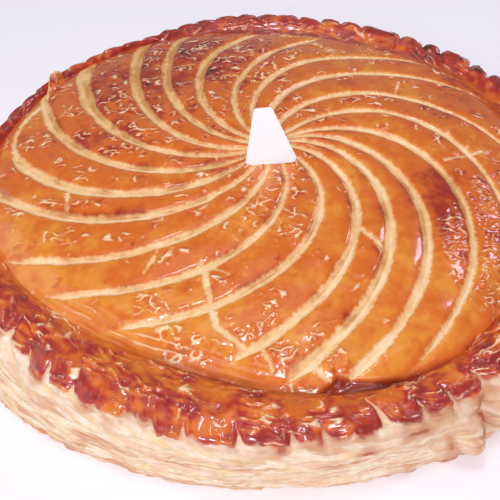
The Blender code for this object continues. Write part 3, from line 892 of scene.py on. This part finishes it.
def buildSide(material):
    bearing = np.linspace(0, 2 * math.pi, layers["columns"], endpoint=False)
    places = np.concatenate([[0.0], np.linspace(0.15, rim["sideSteps"], layers["rows"])])
    points = smoothRun(controlRings(bearing)[4:], places)
    length = pathLength(points, 0)[1:]
    normal = gridNormals(points)[1:]
    points = points[1:]
    crust = glazeDistance(bearing, length)
    ridge, sheet = sheetRelief(points, bearing)
    flakyHeight, flakySize = layers["flaky"]
    flaky = smooth(noise(sheet, flakySize, 74), -0.04, 0.1)
    start, end, calm = layers["calmTop"]
    ridge = mix(0.6, ridge, mix(1.0, calm, smooth(points[..., 2], start, end)))
    lift = layers["stand"][0] * (ridge - 0.3) + flakyHeight * (flaky - 0.5)
    lift += lumps(points, layers["crumb"], 75)
    lift += lumps(leaning(points, bearing), layers["crumple"], 77, 3)
    lift = lift * smooth(length, 0.0005, 0.004)
    lift -= layers["overlap"] * onTop(crust) * (1 - smooth(length, 0.008, 0.01))
    points = points + normal * lift[..., None]
    points[-1, :, 2] = 0.0
    shown = {
        "crust": crust / mm,
        "layered": np.clip(ridge, 0, 1),
        "grain": noise(sheet, (0.012, 0.012, 0.0009), 76),
        "browning": rimBrowning(points, length, bearing),
        **sideTints(points, bearing, crust, flaky),
        **dict.fromkeys(("paintedShade", "wrinkled", "paleAndGlint"), 0 * length),
    }
    # a hidden top and the flat underside close it
    hiddenTop = around(bearing, lipRadius(bearing) - 0.008, 0.0225)
    under = around(bearing, 0.6 * ringRadius(pastry["foot"], bearing))
    shown = withHidden(shown, 1, 1, {"crust": -3.0, "layered": 0.5, "toasted": 0.6})
    points = np.concatenate([hiddenTop[None], points, under[None]])
    return makeTube("layered_side", points, shown, material)


# A loose flake of crust that stands up at the back left, where a cut runs out over the rim
flake = {
    "bearing": (156.0, 145.5),
    "turn": -7.5,  # degrees from its foot to its torn edge
    "inward": 0.012,  # how far inside the lip it grows out of the rim
    "foot": 0.0285,
    "height": 0.0062,
    "lean": 0.0105,
    "thickness": 0.0008,
    "columns": 64,
    "rows": 18,
    "ragged": (0.0012, 0.0026),
    "curl": (0.001, 0.006),
    "crumbly": (0.0003, 0.0022),
    "crumbs": (0.5, 0.003),
    "browning": (0.34, 0.004),
}


def buildFlake(material):
    # up the outside, over the torn edge and down the inside, then the next column
    start, end = (math.radians(value) for value in flake["bearing"])
    across = np.linspace(0.0, 1.0, flake["columns"])[:, None]
    rows = flake["rows"]
    up = np.concatenate([np.linspace(0.0, 1.0, rows), np.linspace(1.0, 0.0, rows)])
    face = np.where(np.arange(2 * rows) < rows, 0.5, -0.5)
    bearing = mix(start, end, across) + math.radians(flake["turn"]) * up
    radius = lipRadius(bearing) - flake["inward"]
    ragged = lumps(around(bearing[:, :1], radius[:, :1]), flake["ragged"], 91, 3)
    shape = smooth(across, -0.02, 0.06) * (1 - 1.1 * smooth(across, 0.15, 0.8))
    height = (pastry["lipHeight"] + flake["height"] * shape + ragged - flake["foot"]) * up + flake["foot"]
    torn = smooth(np.maximum(up, 1 - 14 * across), 0.9, 1.0) * (1 - smooth(across, 0.35, 0.6))
    spot = around(bearing, radius, height)
    thick = flake["thickness"] * face * (1.15 - up ** 3) * smooth(across * (1 - across), 0.0, 0.02)
    radius = radius + flake["lean"] * up + lumps(spot, flake["curl"], 92) * up * (1.2 - up) + thick
    points = around(bearing, radius + lumps(spot, flake["crumbly"], 95, 2), height)
    streaks = noise(points, (0.0012, 0.0012, 0.006), 93)
    shown = {
        "crust": np.where(face > 0, -2.0, 0.55 + lumps(points, flake["crumbs"], 96, 2) - 2.2 * torn),
        "paleAndGlint": np.clip(0.3 * streaks, 0, 1),
        "grain": streaks,
        "browning": 0.44 + lumps(points, flake["browning"], 94, 3),
        **dict.fromkeys(("paintedShade", "wrinkled"), 0 * streaks),
    }
    return makeTube("loose_flake", points, shown, material, inwards=True)


# Materials
class NodeBench:
    # lays out one material's nodes
    def __init__(self, name):
        self.material = bpy.data.materials.new(name)
        self.material.use_nodes = True
        self.tree = self.material.node_tree

    def fill(self, node, sources):
        # sources go by socket: a number or a colour, or what another node puts out
        for key, source in sources.items():
            if isinstance(source, bpy.types.NodeSocket):
                self.tree.links.new(source, node.inputs[key])
            else:
                node.inputs[key].default_value = source

    def shade(self, sources):
        self.fill(self.tree.nodes["Principled BSDF"], sources)
        return self.material

    def add(self, kind, sources, output=0, **settings):
        node = self.tree.nodes.new("ShaderNode" + kind)
        for key, value in settings.items():
            setattr(node, key, value)
        self.fill(node, sources)
        return node.outputs[output]

    def attribute(self, name):
        return self.add("Attribute", {}, "Fac", attribute_name=name)

    def maths(self, operation, *values):
        return self.add("Math", dict(enumerate(values)), operation=operation)

    def times(self, first, second):
        return self.maths("MULTIPLY", first, second)

    def fit(self, value, low, high, start=0.0, end=1.0):
        sources = dict(enumerate((value, low, high, start, end)))
        return self.add("MapRange", sources, interpolation_type="SMOOTHSTEP")

    def blend(self, share, low, high):
        return self.add("Mix", {0: share, 6: low, 7: high}, 2, data_type="RGBA")

    def noise(self, size, detail=3.0, stretch=None, rough=0.5):
        place = self.add("TexCoord", {}, "Object")
        if stretch:
            place = self.add("Mapping", {"Scale": stretch, "Vector": place})
        sources = {"Vector": place, "Scale": 1 / size, "Detail": detail, "Roughness": rough}
        return self.add("TexNoise", sources, "Fac")

    def wrinkles(self, size, thin):
        # thin curved lines, one along their middles
        away = self.noise(size, 1.0, (0.55, 1.1, 1.0), 0.3)
        away = self.maths("ABSOLUTE", self.maths("SUBTRACT", away, 0.5))
        return self.fit(away, 0.0, thin, 1.0, 0.0)

    def relief(self, *bumps):
        # each bump is what to read as height, and the height of a full one
        below = {}
        for level, height in bumps:
            sources = {"Strength": 1.0, "Distance": height, "Height": level, **below}
            below = {"Normal": self.add("Bump", sources)}
        return below


glaze = {
    "golden": paint(232, 148, 50),
    "amber": paint(219, 108, 31),
    "chestnut": (paint(166, 44, 20), paint(178, 52, 38)),  # on the dome, on the rim
    # the darkest crust, and the colour that painted shade darkens towards
    "dark": paint(78, 20, 16),
    "thin": paint(255, 226, 178),  # over a sharp crest: thinner glaze, and painted highlight
    "fade": ((-0.75, 0.6), (-1.3, 0.9)),  # where the glaze thins out, mm: on the dome, at the lip
    "roughness": 0.2,
    "shine": 0.2,
    "coatRoughness": 0.08,
    "curl": (0.0032, 0.05, 0.00016),  # finest wrinkles: size, how thin, and height
    "skin": (0.0045, 0.00016),
}
bare = {
    "cream": paint(249, 236, 214),
    "yellow": paint(242, 214, 150),
    "rosy": paint(238, 196, 168),
    "tan": paint(234, 200, 156),
    # toasted pastry, and the painted shade in the gaps between sheets
    "toast": paint(208, 144, 104),
    "stain": paint(176, 84, 58),
    "cutPale": paint(250, 218, 172),
    "cut": paint(238, 194, 134),
    "cutToast": paint(206, 146, 84),
    "roughness": 0.6,
    "crumb": (0.0008, 0.00026),
}


def glazeColour(bench, layered):
    brown = bench.attribute("browning")
    colour = bench.blend(bench.fit(brown, 0.05, 0.4), glaze["golden"], glaze["amber"])
    colour = bench.blend(bench.fit(brown, 0.4, 0.78), colour, glaze["chestnut"][layered])
    return bench.blend(bench.fit(brown, 0.8, 1.05), colour, glaze["dark"])


def bareColour(bench, layered):
    grain = bench.fit(bench.noise(0.003, 5.0, None, 0.65), 0.35, 0.68)
    lines = bench.fit(bench.attribute("grain"), -0.5, 0.6)
    if not layered:
        brown = bench.maths("MULTIPLY_ADD", lines, -0.2, bench.attribute("browning"))
        brown = bench.maths("MULTIPLY_ADD", grain, -0.16, brown)
        colour = bench.blend(bench.fit(brown, -0.2, 0.25), bare["cutPale"], bare["cut"])
        return bench.blend(bench.fit(brown, 0.2, 0.65), colour, bare["cutToast"])
    # painted shade in the gaps between sheets, in the toast colour
    shadedGaps = bench.fit(bench.attribute("layered"), 0.55, 0.0, 0.0, 0.95)
    toasted = bench.attribute("toasted")
    colour = bare["cream"]
    for share, tint in ((bench.fit(bench.attribute("yellow"), -0.1, 0.45, 0.0, 0.65), "yellow"),
                        (bench.fit(bench.attribute("rosy"), -0.05, 0.5, 0.0, 0.7), "rosy"),
                        (bench.times(grain, 0.55), "tan"), (bench.times(shadedGaps, lines), "toast"),
                        (bench.fit(toasted, 0.05, 0.9, 0.0, 0.8), "toast"),
                        (bench.fit(toasted, 0.9, 1.3, 0.0, 0.8), "stain")):
        colour = bench.blend(share, colour, bare[tint])
    return colour


def bakedMaterial(name, layered):
    # glazed crust where the attribute crust is above zero, bare pastry where it is below
    bench = NodeBench(name)
    ragged = bench.fit(bench.noise(0.0018, 4.0), 0.2, 0.8, -0.45, 0.45)
    glazed = bench.fit(bench.maths("ADD", bench.attribute("crust"), ragged), *glaze["fade"][layered])
    curlSize, curlThin, curlHeight = glaze["curl"]
    curled = bench.times(bench.wrinkles(curlSize, curlThin), bench.attribute("wrinkled"))
    curled = bench.times(curled, glazed)
    # crests painted pale: thinner glaze and painted highlight
    crestsAndGlints = bench.maths("MULTIPLY_ADD", curled, 0.25, bench.attribute("paleAndGlint"))
    thin = bench.fit(crestsAndGlints, 0.1, 0.95, 0.0, 0.92)
    colour = bench.blend(thin, glazeColour(bench, layered), glaze["thin"])
    colour = bench.blend(glazed, bareColour(bench, layered), colour)
    crumbSize, crumbHeight = bare["crumb"]
    crumb = bench.times(bench.noise(crumbSize, 3.0), bench.fit(glazed, 0.0, 1.0, 1.0, 0.0))
    skinSize, skinHeight = glaze["skin"]
    skin = bench.times(bench.noise(skinSize, 2.0), glazed)
    return bench.shade({
        # painted shade darkens the colour towards the darkest glaze
        "Base Color": bench.blend(bench.attribute("paintedShade"), colour, glaze["dark"]),
        "Roughness": bench.fit(glazed, 0.0, 1.0, bare["roughness"], glaze["roughness"]),
        "Specular IOR Level": glaze["shine"],
        "Coat Weight": glazed,
        "Coat Roughness": glaze["coatRoughness"],
        **bench.relief((crumb, crumbHeight), (curled, curlHeight), (skin, skinHeight)),
    })


# The tag: a thin card with soft edges
tag = {
    "base": 0.0226,
    "top": 0.0074,
    "length": 0.0242,
    "topOffset": -0.0019,
    "thickness": 0.0012,
    "corner": 0.0019,
    "cornerSteps": 8,
    "foot": (0.0014, -0.0134),
    "lift": -0.0001,
    "lean": 20,
    "roll": 5,
    "softEdge": 0.00035,
    "white": (paint(254, 254, 255), paint(250, 250, 253)),
    "roughness": 0.5,
}


def tagPlace():
    x, y = (cut + foot - box for cut, foot, box in zip((cutX, cutY), tag["foot"], pastry["boxCentre"]))
    place = Matrix.Translation((x, y, pastry["apexHeight"] + tag["lift"]))
    turn = Matrix.Rotation(math.radians(90 - tag["lean"]), 4, "X")
    return place @ turn @ Matrix.Rotation(math.radians(tag["roll"]), 4, "Z")


def tagOutline():
    # the four corners, each rounded in a few steps
    half, narrow, aside = tag["base"] / 2, tag["top"] / 2, tag["topOffset"]
    corners = ((-half, 0), (half, 0), (aside + narrow, tag["length"]), (aside - narrow, tag["length"]))
    outline = []
    for index, corner in enumerate(corners):
        here = Vector(corner)
        before = (Vector(corners[index - 1]) - here).normalized()
        after = (Vector(corners[(index + 1) % 4]) - here).normalized()
        opening = before.angle(after) / 2
        centre = here + (before + after).normalized() * tag["corner"] / math.sin(opening)
        start = here + before * tag["corner"] / math.tan(opening) - centre
        for step in range(tag["cornerSteps"] + 1):
            turn = (math.pi - 2 * opening) * step / tag["cornerSteps"]
            outline.append(centre + Matrix.Rotation(turn, 2) @ start)
    return outline


def buildTag(material):
    curve = bpy.data.curves.new("tag_outline", "CURVE")
    curve.dimensions = "2D"
    curve.fill_mode = "BOTH"
    curve.extrude = tag["thickness"] / 2
    spline = curve.splines.new("POLY")
    outline = tagOutline()
    spline.points.add(len(outline) - 1)
    for point, spot in zip(spline.points, outline):
        point.co = (spot.x, spot.y, 0.0, 1.0)
    spline.use_cyclic_u = True
    draft = putInScene("tag_outline", curve)
    weld = draft.modifiers.new("weld", "WELD")
    weld.merge_threshold = 0.00001
    soften = draft.modifiers.new("soften", "BEVEL")
    soften.width = tag["softEdge"]
    soften.segments = 3
    soften.angle_limit = math.radians(60)
    bpy.context.view_layer.update()
    mesh = bpy.data.meshes.new_from_object(draft.evaluated_get(bpy.context.evaluated_depsgraph_get()))
    bpy.data.objects.remove(draft)
    mesh.transform(tagPlace())
    mesh.shade_smooth()
    mesh.set_sharp_from_angle(angle=math.radians(50))
    mesh.materials.clear()
    mesh.materials.append(material)
    return putInScene("blank_card", mesh)


def cardMaterial():
    bench = NodeBench("white_card")
    cloud = bench.fit(bench.noise(0.006, 2.0), 0.3, 0.7)
    return bench.shade({"Base Color": bench.blend(cloud, *tag["white"]), "Roughness": tag["roughness"]})


# Camera, floor and light
view = {
    "target": (-0.01274, -0.01946, 0.0),
    "distance": 0.38069,
    "elevation": 44.57,
    "lens": 61.2,
}
studio = {
    "floorSize": 8.0,
    "floor": {"Base Color": paint(252, 250, 254), "Roughness": 0.8},
    "world": {"Color": (0.97, 0.96, 1.0, 1.0), "Strength": 0.25},
    "lights": (  # name, place, size, watts, colour
        ("ceiling", (-0.05, 0.02, 1.0), (0.2, 0.06), 1.0, (0.93, 0.91, 1.0)),
        ("softbox", (0.1, 0.1, 2.0), (1.8, 1.5), 5.2, (0.98, 0.97, 1.0)),
        ("window", (0.73, 0.57, 0.8), (0.18, 0.28), 1.7, (0.74, 0.71, 1.0)),
        ("left", (-1.8, -0.1, 0.9), (2.6, 1.6), 9.5, (1.0, 0.98, 0.98)),
        ("front", (-0.3, -2.6, 2.4), (4.0, 2.4), 38.0, (1.0, 0.98, 1.0)),
        ("flash", (-0.04, -0.66, 0.7), (0.17, 0.13), 3.2, (0.92, 0.89, 1.0)),
    ),
}


def placeCamera():
    camera = putInScene("camera", bpy.data.cameras.new("camera"))
    tilt = math.radians(view["elevation"])
    back = Vector((0.0, -math.cos(tilt), math.sin(tilt)))
    camera.location = Vector(view["target"]) + back * view["distance"]
    camera.rotation_euler = (math.radians(90) - tilt, 0.0, 0.0)
    camera.data.lens = view["lens"]
    camera.data.sensor_width = 36
    camera.data.clip_start = 0.01
    bpy.context.scene.camera = camera


def placeFloor():
    half = studio["floorSize"] / 2
    mesh = bpy.data.meshes.new("floor")
    corners = [(-half, -half, 0), (half, -half, 0), (half, half, 0), (-half, half, 0)]
    mesh.from_pydata(corners, [], [(0, 1, 2, 3)])
    mesh.materials.append(NodeBench("pale_floor").shade(studio["floor"]))
    floor = putInScene("floor", mesh)


def placeLights():
    world = bpy.data.worlds.new("soft_room")
    bpy.context.scene.world = world
    world.use_nodes = True
    for key, value in studio["world"].items():
        world.node_tree.nodes["Background"].inputs[key].default_value = value
    for name, place, size, watts, colour in studio["lights"]:
        data = bpy.data.lights.new(name, "AREA")
        data.shape = "RECTANGLE"
        data.size, data.size_y = size
        data.energy = watts
        data.color = colour
        lamp = putInScene(name, data)
        lamp.location = place
        lamp.rotation_euler = (-Vector(place)).to_track_quat("-Z", "Y").to_euler()


bpy.context.scene.view_settings.view_transform = "Standard"
placeCamera()
placeFloor()
placeLights()
print("camera, floor and lights placed")

crustTop = bakedMaterial("glazed_crust", False)
crustSide = bakedMaterial("layered_pastry", True)
for piece in buildDome(crustTop) + [buildRim(crustSide), buildSide(crustSide), buildFlake(crustTop)]:
    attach(piece, "root")
    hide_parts("galette")
    print(piece.name, "built with", len(piece.data.polygons), "faces")

card = buildTag(cardMaterial())
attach(card, "root")
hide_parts("white_tag")
print("card built")
